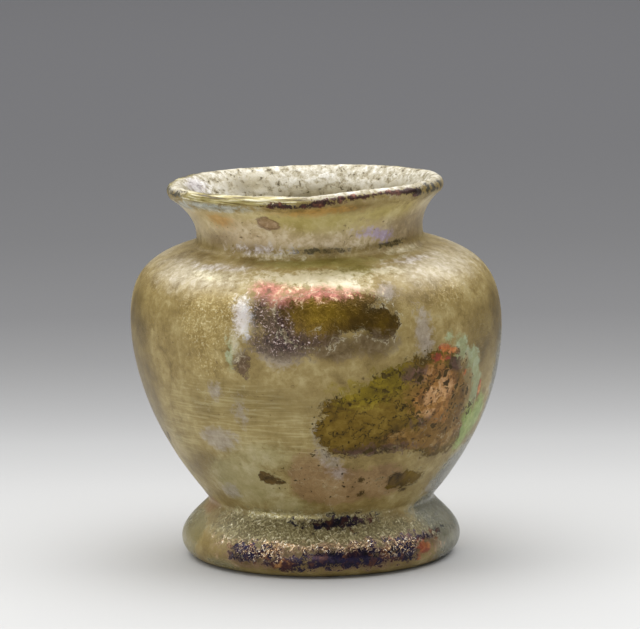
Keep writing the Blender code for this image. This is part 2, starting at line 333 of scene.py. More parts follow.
# The foot ring, coated with fine crystals and violet film
FOOT = (
    # Brocade of fine crystals in cream and grey olive
    Finish("needle", NEEDLE, "#3C3824 #6C6644 #8E8864 #B0AA86 #FAF4DA",
        (Patch(-26, 5.4, 9, 2.9), Patch(5, 5.2, 9, 3), Patch(34, 4.6, 8, 2.2)),
        Gloss(0.3, 0.35), Edge(1.2, 1, 0.75), grain=0.8, behind=2),
    # Tan film that the violet grows through
    Finish("ochre", MOTTLE, "#3E3022 #6A543E #92745A #D8B894",
        (Patch(-22, 2.6, 7, 1.7), Patch(12, 2.6, 9, 1.9), Patch(38, 3.1, 6, 1.7)),
        Gloss(0.28, 0.45), Edge(1, 0.5, 0.85), grain=0.6),
    # Painted highlight: a gold glint along the top of the foot, where it bends up into the waist
    Finish("glint", GRAIN, "#A89C64 #D8CC98 #FFFAE0",
        (Patch(-22, 7, 4.6, 0.45),),
        Gloss(0.24, 0.75), Edge(0.7, 0.4, 0.85), grain=0.5),
    # Nearly black violet and navy film with brown flakes
    Finish("violet", PLATE, "#030206 #06061A #0E0C34 #1E0F2C #523028 #B8844E",
        (Patch(6, 6.3, 3.6, 0.8), Patch(-30, 3, 2.8, 1.2), Patch(-15, 2, 2.2, 1), Patch(9, 2.5, 7, 1.3),
         Patch(36, 2.7, 2.8, 1.2), Patch(42, 4, 4.5, 0.5)),
        Gloss(0.24, 0.6), Edge(1.5, 0.2, 0.95), grain=0.3, behind=2),
    # Painted highlights: gold and pink glints where the foot rounds over towards the light
    Finish("spark", GRAIN, "#7E5E40 #DCBC90 #FFFCF0",
        (Patch(-22, 3.9, 7, 0.7), Patch(10, 4, 9, 0.7), Patch(37, 3.2, 3.4, 0.8), Patch(-24, 2.9, 3, 0.7)),
        Gloss(0.22, 0.75), Edge(0.8, 0.4, 0.95), grain=0.6, specks=NEEDLE, amount=0.5),
    # Rust-red fleck at the right end of the violet
    Finish("rust", PLATE, "#5A1E0E #8A3A1E #C88448",
        (Patch(47, 2.6, 1.1, 1),),
        Gloss(0.35, 0.3), Edge(1, 0.3, 0.85), grain=0.3),
)

# The neck, the lip and the inside of the mouth
MOUTH = (
    # Painted glow: the thin wall of the neck painted paler all round, standing in for the light that comes
    # through it from behind
    Finish("painted_neck_light", BLOTCH, "#B09C6E #CEBC90 #E4D8B4",
        (Patch(0, 41.8, ROUND, 2.3),),
        Gloss(0.36, 0.1), Edge(0.8, 0.9, 0.9), grain=0.3),
    # Olive and brown glass under the lip
    Finish("olive", BLOTCH, "#AA9A50 #C8BA72 #DED29A",
        (Patch(-2, 42.4, 8.5, 1.5), Patch(36, 42.8, 5, 1)),
        Gloss(0.3, 0.15, 0.1), Edge(1.1, 0.9, 0.8), behind=4),
    # Pinkish tan skin of the neck
    Finish("skin", MOTTLE, "#B09874 #D0BC9A #E8DAC2",
        (Patch(-28, 41, 5.5, 2), Patch(4, 40.2, 6, 0.9)),
        Gloss(0.36, 0.1), Edge(1.2, 0.8, 0.7), grain=0.3, behind=3),
    # Painted brown shade where the neck turns away and at its foot
    Finish("brown", MOTTLE, "#5E4828 #7A6238 #9A8254",
        (Patch(-52, 40, 3, 0.9), Patch(60, 40.6, 5.4, 1.7), Patch(22, 43.5, 2.8, 0.6),
         Patch(-30, 39.4, 3, 0.6)),
        Gloss(0.38, 0.1), Edge(1.1, 0.6, 0.7), behind=2),
    # Small brown pits in the skin of the neck
    Finish("grit", MOTTLE, "#54401E #7A6236",
        (Patch(-38, 41, 6, 2), Patch(30, 41, 5, 1.6)),
        Gloss(0.45), Edge(0.8, 0.5, 0.75), specks=DOTS, amount=0.24, behind=2),
    # Painted shade: a dark line along the crease at the foot of the neck
    Finish("root", MOTTLE, "#262006 #443A12",
        (Patch(48, 39.2, 2.6, 0.3), Patch(3, 39.2, 2.9, 0.3)),
        Gloss(0.4, 0.7), Edge(soft=0.15, cover=0.9)),
    # Orange-brown glass under the dark stripe and at the left
    Finish("amber", BLOTCH, "#9E6C28 #C09044 #D8B070",
        (Patch(-45, 42.3, 1.8, 0.9), Patch(4, 43.5, 3.8, 0.6)),
        Gloss(0.35, 0.1), Edge(0.8, 0.5, 0.7)),
    # Lilac film low on the neck
    Finish("lilac", MOTTLE, "#8E7A9C #A694B8 #C4B8CC",
        (Patch(41, 40.3, 1.3, 0.6), Patch(36, 40.7, 0.8, 0.6), Patch(30, 40.9, 1.2, 0.3)),
        Gloss(0.35, 0.3), Edge(0.7, 0.3, 0.75)),
    # Skin of a burst blister
    Finish("blister", MOTTLE, "#7E5C3C #9C7C5C #B89C80",
        (Patch(-18, 42.3, 1.3, 0.75, -10),),
        Gloss(0.35, 0.1), Edge(0.3, 0.2, 0.8)),
    # Dark reddish line round the blister
    Finish("blister_rim", MOTTLE, "#3E1E10 #6A3C22",
        (),
        Gloss(0.35, 0.1), Edge(0.3, cover=0.6), rim_of="blister", rim=0.24),
    # Blue-grey frost under the lip at the left
    Finish("rime", MOTTLE, "#8C9088 #AAAEA4 #CCCEC6",
        (Patch(-44, 43.85, 5.4, 0.65), Patch(-64, 43.5, 2.4, 0.6)),
        Gloss(0.38, 0.1), Edge(0.8, 0.4, 0.85), behind=3),
    # White frost inside the mouth, full of pits
    Finish("frost", MOTTLE, "#75694C #A0967A #C0B8A2 #D8D3C4 #F2F0E8",
        (Patch(180, 43.3, ROUND, 4.1, inner=True),),
        Gloss(0.42, 0.05), Edge(0.7, 0.4, 0.95), grain=0.7),
    # Brown deeper in the mouth all round, towards the bore, and brown clouds in places on the frost
    Finish("mouth_brown", BLOTCH, "#5E5028 #7E7044 #A4966C",
        (Patch(180, 39.6, ROUND, 2.6, inner=True), Patch(172, 42, 6, 1, inner=True),
         Patch(-150, 43.6, 2.2, 0.8, inner=True), Patch(-100, 44, 3, 0.8, inner=True),
         Patch(120, 42.6, 4, 1, inner=True)),
        Gloss(0.42, 0.1), Edge(1.4, 1, 0.75), grain=0.4),
    # Brown pits in the frost
    Finish("pits", MOTTLE, "#4A3E20 #7A6A48",
        (Patch(180, 43, ROUND, 3.4, inner=True),),
        Gloss(0.5), Edge(soft=0.3, cover=0.8), lift=-1, specks=DOTS, amount=0.26),
    # Mother-of-pearl film in the mouth and in a streak on the left of the shoulder; the streaks high on the
    # shoulders and at the foot of the neck are painted highlights
    Finish("pearl_and_highlights", MOTTLE, "#C8C0CC #E6E0EA #FFFFFF",
        (Patch(-112, 44.3, 2.4, 1.2, inner=True), Patch(60, 44.9, 3, 0.5, inner=True),
         Patch(-23, 32.8, 1.1, 2.1), Patch(-41, 37.3, 2.2, 0.35), Patch(46, 37.5, 1.8, 0.35),
         Patch(-25, 39.3, 1.5, 0.25)),
        Gloss(0.28, 0.3), Edge(1.2, 0.6, 0.5)),
    # Yellow glass of the roll
    Finish("roll", STRIAE, "#4A3A16 #867838 #B4A76C #EEE8CA",
        (Patch(-40, 45.15, 7, 1), Patch(-14, 44.9, 5, 0.8)),
        Gloss(0.3, 0.2, 0.05), Edge(0.6, 0.2, 0.9), grain=0.6, behind=2),
    # Nearly black red-violet film along the roll
    Finish("stripe", MOTTLE, "#140A0C #26121A #45201E #7E4C34",
        (Patch(-8, 44.35, 2.8, 0.4), Patch(5, 44.5, 2.8, 0.42), Patch(20, 44.8, 3.6, 0.3),
         Patch(38, 44.88, 3.8, 0.22), Patch(47, 44.8, 1.5, 0.5), Patch(53, 44.6, 1.3, 0.6)),
        Gloss(0.3, 0.6), Edge(soft=0.1, cover=0.95), behind=2),
    # Sooty speckle at both ends of the lip
    Finish("soot", MOTTLE, "#16140E #2A2818",
        (Patch(66, 44.8, 4.2, 0.7), Patch(-84, 44.6, 1.6, 0.7), Patch(-70, 44.9, 2, 0.3)),
        Gloss(0.4), Edge(0.4, 0.2, 0.9), specks=MOTTLE, amount=0.5),
)

FINISHES = BODY + CLEAR + CRUST + FILM + FOOT + MOUTH


@dataclass(frozen=True)
class Dent:
    """A mark in the form itself: a hollow, a crease, a swelling, or a ring round a burst blister."""

    azimuth: float
    height: float
    half_around: float
    half_up: float
    depth: float  # mm, negative for a swelling
    ring: bool = False
    inner: bool = False


DENTS = (
    Dent(-18, 42.4, 1.2, 0.6, -0.14, ring=True),
    Dent(3, 39.3, 3.0, 0.3, 0.16),
    Dent(48, 39.4, 2.6, 0.3, 0.14),
    Dent(-62, 45.3, 0.45, 0.3, 0.45),
    Dent(-36, 44.2, 7.0, 0.16, 0.14),
    Dent(-30, 44.75, 8.0, 0.12, 0.1),
    Dent(30, 25.8, 0.35, 0.35, -0.1, ring=True),
)


@dataclass(frozen=True)
class Meridian:
    """The profile of the sheet of glass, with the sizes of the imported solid."""

    foot_rise: float = 7.1
    body_rise: float = 21.5
    shoulder_rise: float = 9.7
    neck_rise: float = 1.3
    funnel_rise: float = 5.8
    waist_diameter: float = 27.2
    body_diameter: float = 44.8
    neck_diameter: float = 27.3
    foot_overhang: float = 3.3
    lip_overhang: float = 3.0
    wall: float = 1.2
    lip_thickness: float = 1.8
    corner_radius: float = 0.75
    foot_bulge_height: float = 2.3
    contact_width: float = 1.0
    contact_inset: float = 2.4
    tube_radius: float = 0.6
    fold_gap: float = 0.6
    floor_corner_radius: float = 1.0
    floor_drop: float = 0.3
    kick_rise: float = 1.3
    body_pull: float = 12.2
    shoulder_pull: float = 6.35
    shoulder_slope: float = 15.0
    shoulder_reach: float = 5.5
    waist_pull: float = 0.5
    waist_foot_pull: float = 0.9
    foot_pull: float = 2.1
    round_share: float = 0.55
    lip_slope: float = 36.0
    lip_reach: float = 2.7
    funnel_slope: float = 48.0
    funnel_pull: float = 0.95

    @property
    def top(self) -> float:
        """Height of the lip's top."""
        return self.foot_rise + self.body_rise + self.shoulder_rise + self.neck_rise + self.funnel_rise

    @staticmethod
    def heading(degrees: float) -> np.ndarray:
        """Unit vector at an angle above the outward direction."""
        return np.array((math.cos(math.radians(degrees)), math.sin(math.radians(degrees))))

    @staticmethod
    def curve(start: tuple, start_pull: tuple, end_pull: tuple, end: tuple) -> np.ndarray:
        """Points on a cubic.

        Args:
            start: radius and height of its start.
            start_pull: handle at the start.
            end_pull: handle at the end.
            end: radius and height of its end, which is left out.

        Returns:
            One row of radius and height for each point.
        """
        t = np.linspace(0, 1, CURVE_POINTS, endpoint=False)[:, None]
        rest = 1 - t
        a, pull_a, pull_b, b = (np.array(v, float) for v in (start, start_pull, end_pull, end))
        return rest**3 * a + 3 * t * rest**2 * (a + pull_a) + 3 * t * t * rest * (b + pull_b) + t**3 * b

    def arc(self, centre: tuple, radius: float, start: float, end: float) -> np.ndarray:
        """Points on an arc between two angles in degrees, without the last one."""
        angles = np.linspace(start, end, ARC_POINTS, endpoint=False)
        return np.array([np.array(centre) + radius * self.heading(a) for a in angles])

    def underside(self) -> np.ndarray:
        """The air side of the floor and of the folded leg, from the axis to the resting flat."""
        waist = self.waist_diameter / 2
        leg = waist - 2 * self.wall - self.fold_gap
        edge = self.foot_rise - self.floor_drop
        fold = self.wall + self.tube_radius
        contact_inner = waist + self.foot_overhang - self.contact_inset - self.contact_width
        corner = (leg - self.floor_corner_radius, edge - self.floor_corner_radius)
        half_leg = (corner[1] - fold) / 2
        flat = corner[0] / 2
        return np.concatenate((
            self.curve((0, edge + self.kick_rise), (flat, 0), (-flat, 0), (corner[0], edge)),
            self.arc(corner, self.floor_corner_radius, 90, 0),
            self.curve((leg, corner[1]), (0, -half_leg), (0, half_leg), (contact_inner - fold, fold)),
            self.arc((contact_inner, fold), fold, 180, 270),
            [(contact_inner, 0), (contact_inner + self.contact_width, 0)],
        ))

    def side(self) -> np.ndarray:
        """The outside from the resting flat up to the neck's narrowest point."""
        waist, belly, neck = self.waist_diameter / 2, self.body_diameter / 2, self.neck_diameter / 2
        foot = waist + self.foot_overhang
        pinch, widest = (waist, self.foot_rise), (belly, self.foot_rise + self.body_rise)
        corner = np.array((neck, widest[1] + self.shoulder_rise))
        slope = self.heading(-self.shoulder_slope)
        shoulder_end = corner + self.corner_radius * slope
        neck_start = corner + (0, self.corner_radius)
        bulge, share, inset = self.foot_bulge_height, self.round_share, self.contact_inset
        return np.concatenate((
            self.curve((foot - inset, 0), (share * inset, 0), (0, -share * bulge), (foot, bulge)),
            self.curve((foot, bulge), (0, self.foot_pull), (0, -self.waist_foot_pull), pinch),
            self.curve(pinch, (0, self.waist_pull), (0, -self.body_pull), widest),
            self.curve(widest, (0, self.shoulder_pull), self.shoulder_reach * slope, shoulder_end),
            self.curve(shoulder_end, (corner - shoulder_end) / 2, (corner - neck_start) / 2, neck_start),
            [(neck, corner[1] + self.neck_rise)],
        ))

    def lip(self) -> tuple[np.ndarray, np.ndarray, np.ndarray]:
        """The funnel's underside, the rolled lip, and the funnel's inside down to the bore."""
        neck, roll = self.neck_diameter / 2, self.lip_thickness / 2
        height = self.top - self.funnel_rise
        centre = np.array((neck + self.lip_overhang - roll, self.top - roll))
        under_angle, inside_angle = self.lip_slope - 90, 180 - self.funnel_slope
        under = centre + roll * self.heading(under_angle)
        inside = centre + roll * self.heading(inside_angle)
        rise = (0, self.funnel_pull)
        bore = (neck - self.wall, height)
        return (
            self.curve((neck, height), rise, -self.lip_reach * self.heading(self.lip_slope), under),
            self.arc(centre, roll, under_angle, inside_angle),
            self.curve(inside, self.lip_reach * self.heading(inside_angle + 90), rise, bore),
        )

    def inside(self) -> np.ndarray:
        """The pot's inside from the bore down to the axis, one wall away from the outside."""
        path = np.concatenate((self.underside(), self.side()))
        path = path[np.r_[True, np.linalg.norm(np.diff(path, axis=0), axis=1) > 1e-6]]
        along = path[2:] - path[:-2]
        along /= np.linalg.norm(along, axis=1)[:, None]
        shell = path[1:-1] + self.wall * np.stack((-along[:, 1], along[:, 0]), 1)
        bore = (self.neck_diameter / 2 - self.wall, self.top - self.funnel_rise)
        return np.concatenate(([bore], shell[::-1], [(0, path[0, 1] + self.wall)]))

    def stations(self, spacing: dict[Zone, float]) -> tuple[np.ndarray, np.ndarray]:
        """Evenly spaced points of the whole profile.

        Args:
            spacing: distance between points in each zone.

        Returns:
            Radius and height of each point, and the value of its zone.
        """
        under_lip, roll, funnel = self.lip()
        pieces = (self.underside(), np.concatenate((self.side(), under_lip)), roll, funnel, self.inside())
        points, zones = [], []
        for zone, piece, after in zip(Zone, pieces, (*pieces[1:], None)):
            path = piece if after is None else np.concatenate((piece, after[:1]))
            run = np.r_[0, np.cumsum(np.linalg.norm(np.diff(path, axis=0), axis=1))]
            steps = round(run[-1] / spacing[zone])
            marks = np.linspace(0, run[-1], steps, endpoint=after is None)
            points.append(np.stack([np.interp(marks, run, path[:, k]) for k in (0, 1)], 1))
            zones.append(np.full(len(marks), zone.value))
        return np.concatenate(points), np.concatenate(zones)


class Graph:
    """A material's node tree, filled from code."""

    def __init__(self, name: str) -> None:
        """Start a material with an empty tree."""
        self.material = bpy.data.materials.new(name)
        self.material.use_nodes = True
        self.tree = self.material.node_tree
        self.tree.nodes.clear()

    def add(self, kind: str, inputs: dict | None = None, out: int | str = 0, **settings) -> Socket | None:
        """Add a node with its settings and links.

        Args:
            kind: the node's type, without its first word.
            inputs: each input's name or number, with its value or the socket that feeds it.
            out: the output that is handed back.
            settings: the node's own properties.

        Returns:
            One of the node's outputs, or None from a node that has none.
        """
        node = self.tree.nodes.new("ShaderNode" + kind)
        for name, value in settings.items():
            setattr(node, name, value)
        for name, value in (inputs or {}).items():
            if isinstance(value, Socket):
                self.tree.links.new(value, node.inputs[name])
            else:
                node.inputs[name].default_value = value
        return node.outputs[out] if len(node.outputs) else None

    def ramp(self, value: Socket, stops: tuple[tuple[float, str], ...]) -> Socket:
        """Colour a value.

        Args:
            value: what picks the colour, from 0 to 1.
            stops: places from 0 to 1 with their colours, the first at 0 and the last at 1.

        Returns:
            The colour output.
        """
        socket = self.add("ValToRGB", {0: value})
        elements = socket.node.color_ramp.elements
        elements[0].color = linear(stops[0][1])
        elements[-1].color = linear(stops[-1][1])
        for place, colour in stops[1:-1]:
            elements.new(place).color = linear(colour)
        return socket


@dataclass(frozen=True)
class Noise:
    """A noise: its size in mm, how fine it is, and the range that is stretched to run from 0 to 1."""

    size: float
    detail: float
    roughness: float
    low: float
    high: float


CLOUD_NOISE = Noise(3.2, 5, 0.6, 0.34, 0.66)
MOTTLE_NOISE = Noise(0.9, 4, 0.65, 0.32, 0.68)
GRAIN_NOISE = Noise(0.3, 2, 0.7, 0.36, 0.68)
EDGE_NOISE = Noise(0.9, 6, 0.75, 0.25, 0.75)


class WeatheredGlass:
    """The pot's material: satin glass with each finish laid over the last. Sizes are millimetres."""

    WANDER_SCALE = 1.3
    PLATE_SIZE = 1.0
    VEIN_SIZE = 2.4
    PIT_SIZE = 0.55
    NEEDLE_TURN = 0.6  # radians
    NEEDLES = ((5.5, 2.5, 1.2), (1.2, 2.5, 5.5))  # how fine the lying and the standing crystals are
    STRIAE_FINENESS = (0.28, 0.28, 4.2)
    SPECK_SOFTNESS = 0.06
    BUMP_STRENGTH = 0.85
    BUMP_DISTANCE = 0.1
    IOR = 1.5
    SPECULAR = 0.4

    def __init__(self, finishes: tuple[Finish, ...]) -> None:
        """Keep the finishes in the order they are laid."""
        self.finishes = finishes
        self.graph = Graph("weathered_glass")

    def places(self) -> tuple[Socket, Socket]:
        """The place on the pot in millimetres, and the same nudged so that no pattern looks ruled."""
        add = self.graph.add
        place = add("VectorMath", {0: add("TexCoord", out="Object"), 3: 1 / MM}, operation="SCALE")
        wander = add("TexNoise", {"Vector": place, "Scale": self.WANDER_SCALE, "Detail": 3.0}, "Color")
        nudge = add("VectorMath", {0: wander, 1: (0.5, 0.5, 0.5)}, operation="SUBTRACT")
        return place, add("VectorMath", {0: place, 1: nudge}, operation="ADD")

    def spread(self, value: Socket, low: float, high: float) -> Socket:
        """Stretch the middle of a noise over the whole range from 0 to 1."""
        return self.graph.add("MapRange", {0: value, 1: low, 2: high, 3: 0.0, 4: 1.0})

    def blend(self, first: Socket, second: Socket, share: float) -> Socket:
        """Mix two values, with the second's share."""
        return self.graph.add("Mix", {0: share, 2: first, 3: second})

    def stretched(self, place: Socket, kind: Noise) -> Socket:
        """A noise at a place, stretched over the whole range."""
        inputs = {"Vector": place, "Scale": 1 / kind.size, "Detail": kind.detail, "Roughness": kind.roughness}
        return self.spread(self.graph.add("TexNoise", inputs), kind.low, kind.high)

    def patterns(self, straight: Socket, place: Socket) -> dict[Pattern, Socket]:
        """Each pattern as a value from 0 to 1.

        Args:
            straight: the place on the pot, for the lines left by turning.
            place: the nudged place, for all the other patterns.

        Returns:
            One value for each pattern.
        """
        add = self.graph.add
        kinds = (CLOUD_NOISE, MOTTLE_NOISE, GRAIN_NOISE)
        cloud, mottle, grain = (self.stretched(place, kind) for kind in kinds)
        plates = {"Vector": place, "Scale": 1 / self.PLATE_SIZE, "Randomness": 1.0}
        cells = add("TexVoronoi", plates, "Color")
        joints = add("TexVoronoi", plates, feature="DISTANCE_TO_EDGE")
        plate = self.blend(add("SeparateColor", {0: cells}, "Red"), mottle, 0.4)
        flake = add("Math", {0: plate, 1: self.spread(joints, -0.06, 0.1)}, operation="MULTIPLY")
        veins = {"Vector": place, "Scale": 1 / self.VEIN_SIZE, "Detail": 3.0, "Roughness": 0.55}
        bend = add("TexNoise", veins)
        off = add("Math", {0: add("Math", {0: bend, 1: 0.5}, operation="SUBTRACT")}, operation="ABSOLUTE")
        # Crystals are about 0.1 mm thick, drawn a little coarser so that they show
        turned = add("VectorRotate", {"Vector": place, "Angle": self.NEEDLE_TURN}, rotation_type="Y_AXIS")
        drawn = [add("Mapping", {"Vector": turned, "Scale": fineness}) for fineness in self.NEEDLES]
        crystals = [add("TexNoise", {"Vector": lie, "Scale": 1.0, "Detail": 2.0}) for lie in drawn]
        needle = add("Math", dict(enumerate(crystals)), operation="MAXIMUM")
        lines = add("Mapping", {"Vector": straight, "Scale": self.STRIAE_FINENESS})
        striae = add("TexNoise", {"Vector": lines, "Scale": 1.0, "Detail": 3.0})
        pits = add("TexVoronoi", {"Vector": place, "Scale": 1 / self.PIT_SIZE, "Randomness": 1.0})
        return {
            CLOUD: cloud,
            BLOTCH: self.blend(cloud, mottle, 0.4),
            MOTTLE: mottle,
            GRAIN: grain,
            PLATE: plate,
            FLAKE: flake,
            VEIN: self.spread(off, 0.02, 0.0),
            NEEDLE: self.spread(needle, 0.46, 0.72),
            STRIAE: self.spread(striae, 0.35, 0.65),
            DOTS: self.spread(self.blend(pits, mottle, 0.35), 0.7, 0.1),
        }

    def mask(self, finish: Finish, edge: Socket, patterns: dict) -> Socket:
        """How much of a finish shows at a point.

        Args:
            finish: the finish, whose attribute holds the depth inside its area.
            edge: noise that makes the area's edge ragged.
            patterns: the patterns that may break the finish into specks.

        Returns:
            Its share, from 0 to 1.
        """
        add = self.graph.add
        ragged, soft, cover = finish.edge.ragged, finish.edge.soft, finish.edge.cover
        area = add("Attribute", out="Fac", attribute_name=finish.rim_of or finish.name)
        depth = add("Math", {0: edge, 1: 2 * ragged, 2: area}, operation="MULTIPLY_ADD")
        starts, ends = ragged - soft, ragged - soft + 2 * soft
        if finish.rim_of:
            aside = add("Math", {0: depth, 1: ragged}, operation="SUBTRACT")
            depth = add("Math", {0: aside}, operation="ABSOLUTE")
            starts, ends = finish.rim, 0.0
        smooth = {"interpolation_type": "SMOOTHSTEP"}
        share = add("MapRange", {0: depth, 1: starts, 2: ends, 3: 0.0, 4: cover}, **smooth)
        if finish.specks is None:
            return share
        bar, slack = 1 - finish.amount, self.SPECK_SOFTNESS
        stretch = {0: patterns[finish.specks], 1: bar - slack, 2: bar + slack, 3: 0.0, 4: 1.0}
        return add("Math", {0: share, 1: add("MapRange", stretch, **smooth)}, operation="MULTIPLY")

    def colour(self, finish: Finish, pattern: Socket) -> Socket:
        """The colour of one finish, by its pattern and by how deep the point lies in its area."""
        colours = finish.colours.split()
        if finish.core:
            area = self.graph.add("Attribute", out="Fac", attribute_name=finish.name)
            deepest = max(min(patch.half_around, patch.half_up) for patch in finish.patches)
            pattern = self.blend(pattern, self.spread(area, 0.0, deepest), finish.core)
        stops = tuple((i / (len(colours) - 1), colour) for i, colour in enumerate(colours))
        return self.graph.ramp(pattern, stops)

    def build(self) -> bpy.types.Material:
        """Lay all finishes and return the material."""
        add = self.graph.add
        straight, place = self.places()
        patterns = self.patterns(straight, place)
        edge = self.stretched(place, EDGE_NOISE)
        colour = self.colour(SATIN, patterns[SATIN.pattern])
        shine = SATIN.shine
        height = add("Math", {0: patterns[GRAIN], 1: SATIN.grain}, operation="MULTIPLY")
        for finish in self.finishes:
            shows = self.mask(finish, edge, patterns)
            pattern = patterns[finish.pattern]
            over = self.colour(finish, pattern)
            colour = add("Mix", {0: shows, 6: colour, 7: over}, 2, data_type="RGBA")
            shine = add("Mix", {0: shows, 6: shine, 7: finish.shine}, 2, data_type="RGBA")
            if finish.lift or finish.grain:
                raised = add("Math", {0: pattern, 1: finish.grain, 2: finish.lift}, operation="MULTIPLY_ADD")
                height = add("Mix", {0: shows, 2: height, 3: raised})
        roughness, metallic, transmission = add("SeparateColor", {0: shine}).node.outputs
        relief = {"Strength": self.BUMP_STRENGTH, "Distance": self.BUMP_DISTANCE * MM, "Height": height}
        surface = add("BsdfPrincipled", {
            "Base Color": colour,
            "Roughness": roughness,
            "Metallic": metallic,
            "Transmission Weight": transmission,
            "Normal": add("Bump", relief),
            "IOR": self.IOR,
            "Specular IOR Level": self.SPECULAR,
        })
        add("OutputMaterial", {0: surface})
        return self.graph.material


@dataclass
class BlownPot:
    """The whole vessel: one turned sheet of glass, moved as the maker's hand left it."""

    meridian: Meridian = field(default_factory=Meridian)
    around: int = 336
    spacing: dict[Zone, float] = field(default_factory=lambda: {
        Zone.UNDER: 0.9, Zone.SIDE: 0.36, Zone.LIP: 0.15, Zone.FUNNEL: 0.32, Zone.INSIDE: 1.2})
    set_over: float = 0.17
    set_over_height: float = 3.0
    lean: float = 1.67
    lean_power: float = 2.8
    lip_tilt: float = 0.9
    lip_warp: float = 0.24
    warp_power: int = 8
    lip_climb: float = 1.0  # the front of the lip is pulled up
    climb_azimuth: float = 10.0
    climb_reach: float = 120.0
    ripples: tuple[tuple[float, float, float], ...] = ((0, 9, -0.2), (30, 11, 0.15))  # azimuth, width, rise
    skin: tuple[tuple[float, float, float], ...] = ((0.05, 7.0, 3.1), (0.02, 2.2, 9.4))  # height, size, seed
    mouth_skin: tuple[tuple[float, float, float], ...] = ((0.06, 1.6, 5.5), (0.05, 0.7, 8.2))
    calm_height: float = 1.2  # below it the skin evens out, so that the foot rests flat
    ring_width: float = 0.4
    inside_end: float = 12.0  # the lowest height where an area is placed on the inside
    nudge: float = 0.15  # how far an area's outline wanders
    body_nudge: float = 0.3  # how much more it wanders on the body
    body_top: float = 38.0
    nudge_size: float = 2.6

    def turn(self) -> bpy.types.Object:
        """Draw the profile by extruding one point, and spin it about the axis."""
        points, zones = self.meridian.stations(self.spacing)
        bpy.ops.object.select_all(action="DESELECT")
        bpy.ops.mesh.primitive_circle_add(vertices=3, radius=MM)
        pot = bpy.context.object
        pot.name = pot.data.name = "blown_pot"
        bpy.ops.object.mode_set(mode="EDIT")
        bpy.ops.mesh.merge(type="CENTER")
        start = Vector((points[0, 0], 0, points[0, 1])) * MM
        bpy.ops.transform.translate(value=start)
        for step in np.diff(points, axis=0) * MM:
            bpy.ops.mesh.extrude_region_move(TRANSFORM_OT_translate={"value": (step[0], 0, step[1])})
        bpy.ops.mesh.select_all(action="SELECT")
        bpy.ops.mesh.spin(steps=self.around, angle=2 * math.pi, center=(0, 0, 0), axis=(0, 0, 1))
        bpy.ops.mesh.select_all(action="SELECT")
        bpy.ops.mesh.remove_doubles(threshold=1e-6)
        bpy.ops.mesh.normals_make_consistent(inside=False)
        bpy.ops.object.mode_set(mode="OBJECT")
        bpy.ops.object.shade_smooth()
        self.survey(pot, points, zones)
        return pot

    def survey(self, pot: bpy.types.Object, points: np.ndarray, zones: np.ndarray) -> None:
        """Note each vertex's azimuth, its profile point, and where it lies along the profile.

        Args:
            pot: the turned mesh.
            points: the profile's points.
            zones: the value of each point's zone.
        """
        tree = kdtree.KDTree(len(points))
        for i, (radius, height) in enumerate(points):
            tree.insert((radius, height, 0), i)
        tree.balance()
        turned = np.empty(len(pot.data.vertices) * 3)
        pot.data.vertices.foreach_get("co", turned)
        turned = turned.reshape(-1, 3) / MM
        radii = np.hypot(turned[:, 0], turned[:, 1])
        station = np.array([tree.find((r, z, 0))[1] for r, z in zip(radii, turned[:, 2])])
        along = np.gradient(points, axis=0)
        along /= np.linalg.norm(along, axis=1)[:, None]
        run = np.r_[0, np.cumsum(np.linalg.norm(np.diff(points, axis=0), axis=1))]
        self.turned = turned
        self.radius = radii
        self.azimuth = np.degrees(np.arctan2(turned[:, 0], -turned[:, 1]))
        self.zone = zones[station]
        self.run = run[station]
        self.normal = np.stack((along[:, 1], -along[:, 0]), 1)[station]
        crest = int(np.argmax(points[:, 1]))
        first = int(np.argmax(zones == Zone.SIDE.value))
        last = crest + int(np.argmax(points[crest:, 1] < self.inside_end))
        self.outer_run = (points[first : crest + 1, 1], run[first : crest + 1])
        self.inner_run = (points[last:crest:-1, 1], run[last:crest:-1])

    def run_at(self, height: float, inner: bool) -> float:
        """How far along the profile the outside or the inside reaches a height."""
        return float(np.interp(height, *(self.inner_run if inner else self.outer_run)))

    def rough(self, size: float, seed: float) -> np.ndarray:
        """Smooth noise at each vertex.

        Args:
            size: distance between its hills, in mm.
            seed: shifts the noise, so that two calls differ.

        Returns:
            One value from about -1 to 1 for each vertex.
        """
        shift = Vector((seed, seed * 1.7, -seed))
        return np.array([noise.noise(Vector(p) / size + shift) for p in self.turned])

    def uneven(self, waves: tuple) -> np.ndarray:
        """The height of some waves at each vertex, from each one's height, size and seed."""
        return sum(height * self.rough(size, seed) for height, size, seed in waves)

    def away(self, azimuth: float) -> np.ndarray:
        """Degrees from an azimuth to each vertex's own, from -180 to 180."""
        return (self.azimuth - azimuth + 180) % 360 - 180

    def reach(self, mark: Patch | Dent, tilt: float = 0.0, wander: tuple = (0.0, 0.0)) -> np.ndarray:
        """How far each vertex is from a mark's middle, as a share of the way to its edge.

        Args:
            mark: a patch or a dent.
            tilt: degrees by which the mark leans.
            wander: how far each vertex's place is nudged, around and up.

        Returns:
            One value for each vertex, 1 on the mark's edge.
        """
        around = np.radians(self.away(mark.azimuth)) * self.radius + wander[0]
        up = (self.run - self.run_at(mark.height, mark.inner)) * (-1 if mark.inner else 1) + wander[1]
        cos, sin = math.cos(math.radians(tilt)), math.sin(math.radians(tilt))
        along, across = cos * around + sin * up, cos * up - sin * around
        return np.hypot(along / mark.half_around, across / mark.half_up)

    def relief(self) -> np.ndarray:
        """How far each vertex stands off the turned form, in mm."""
        outer = np.isin(self.zone, (Zone.SIDE.value, Zone.LIP.value))
        mouth = np.isin(self.zone, (Zone.LIP.value, Zone.FUNNEL.value))
        calm = 1 - np.exp(-((self.turned[:, 2] / self.calm_height) ** 2))
        offset = self.uneven(self.skin) * outer * calm + self.uneven(self.mouth_skin) * mouth
        for dent in DENTS:
            far = self.reach(dent)
            shape = np.exp(-(((far - 1) / self.ring_width) ** 2)) if dent.ring else np.exp(-(far**4))
            offset -= dent.depth * shape
        return offset

